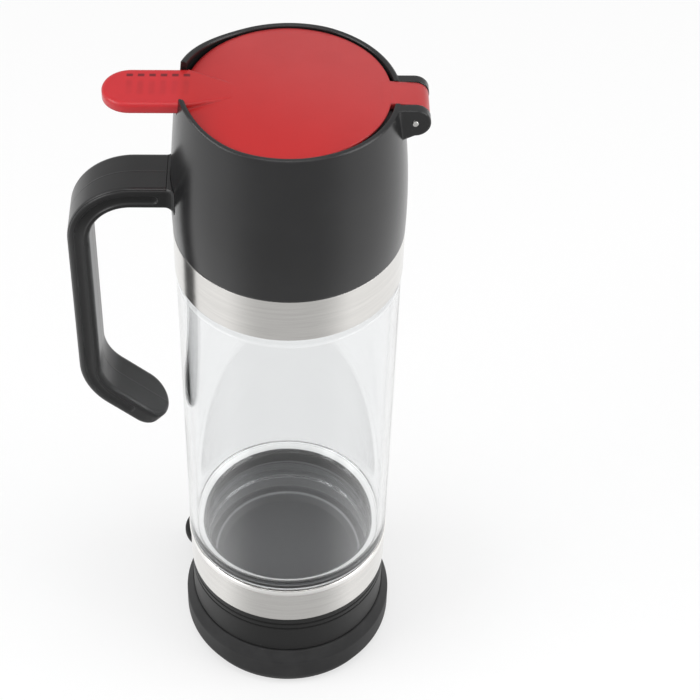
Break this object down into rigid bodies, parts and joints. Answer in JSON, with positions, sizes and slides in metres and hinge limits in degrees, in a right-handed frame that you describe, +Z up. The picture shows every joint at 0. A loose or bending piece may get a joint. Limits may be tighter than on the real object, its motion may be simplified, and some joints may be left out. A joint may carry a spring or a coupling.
{
  "type": "honey dispenser",
  "caption": "Hand dispenser for honey or syrup: clear vessel between a pouring head with handle and hinged lid and a suction foot; both ends unscrew.",
  "frame": {"origin": "on the vessel's axis, in the plane that the suction foot stands on", "axes": "+Z up along the vessel's axis; +X towards the lid's hinge, so the handle and the lid's thumb tab point along -X; +Y to the right of someone who holds the handle and looks at the hinge"},
  "size_m": [0.1144, 0.0778, 0.259],
  "materials": {
    "red_lid": "slightly translucent, satin gloss",
    "black_head": "satin gloss",
    "black_grip": "fine satin",
    "steel_band": "brushed round the band",
    "clear_vessel": "clear and polished",
    "black_seal": "smooth",
    "pale_seal": "smooth silicone",
    "dark_cup": "satin",
    "foot_rubber": "matte",
    "inner_plastic": "plain moulded",
    "bright_pin": "polished",
    "screw_steel": "zinc plated"
  },
  "bodies": {
    "base": {"base_cup": "dark_cup", "lower_band": "steel_band", "suction_foot": "foot_rubber", "foot_retainer": "inner_plastic", "foot_screws": "screw_steel"},
    "base_ring": {"base_seal": "black_seal"},
    "vessel": {"vessel": "clear_vessel"},
    "head_ring": {"head_seal": "pale_seal"},
    "head": {"head_shell": "black_head", "mouth_liner": "inner_plastic", "head_collar": "inner_plastic", "upper_band": "steel_band", "handle_shell": "black_grip", "handle_core": "black_grip", "handle_screws": "screw_steel", "hinge_pin": "bright_pin"},
    "lid": {"lid": "red_lid", "lid_seal": "pale_seal"}
  },
  "joints": [
    {"name": "base_turn", "type": "hinge", "parent": "base", "child": "base_ring", "pos_m": [0, 0, 0.05], "axis": [0, 0, 1], "range_deg": [0, 1170]},
    {"name": "base_rise", "type": "slide", "parent": "base_ring", "child": "vessel", "axis": [0, 0, 1], "range_m": [0, 0.0131]},
    {"name": "head_turn", "type": "hinge", "parent": "vessel", "child": "head_ring", "pos_m": [0, 0, 0.2], "axis": [0, 0, 1], "range_deg": [0, 1170]},
    {"name": "head_rise", "type": "slide", "parent": "head_ring", "child": "head", "axis": [0, 0, 1], "range_m": [0, 0.0131]},
    {"name": "lid_hinge", "type": "hinge", "parent": "head", "child": "lid", "pos_m": [0.0383, 0, 0.2495], "axis": [0, 1, 0], "range_deg": [0, 110]}
  ],
  "couplings": [
    {"joint": "base_rise", "follows": "base_turn", "m_per_rad": 0.00063662},
    {"joint": "head_rise", "follows": "head_turn", "m_per_rad": 0.00063662}
  ]
}
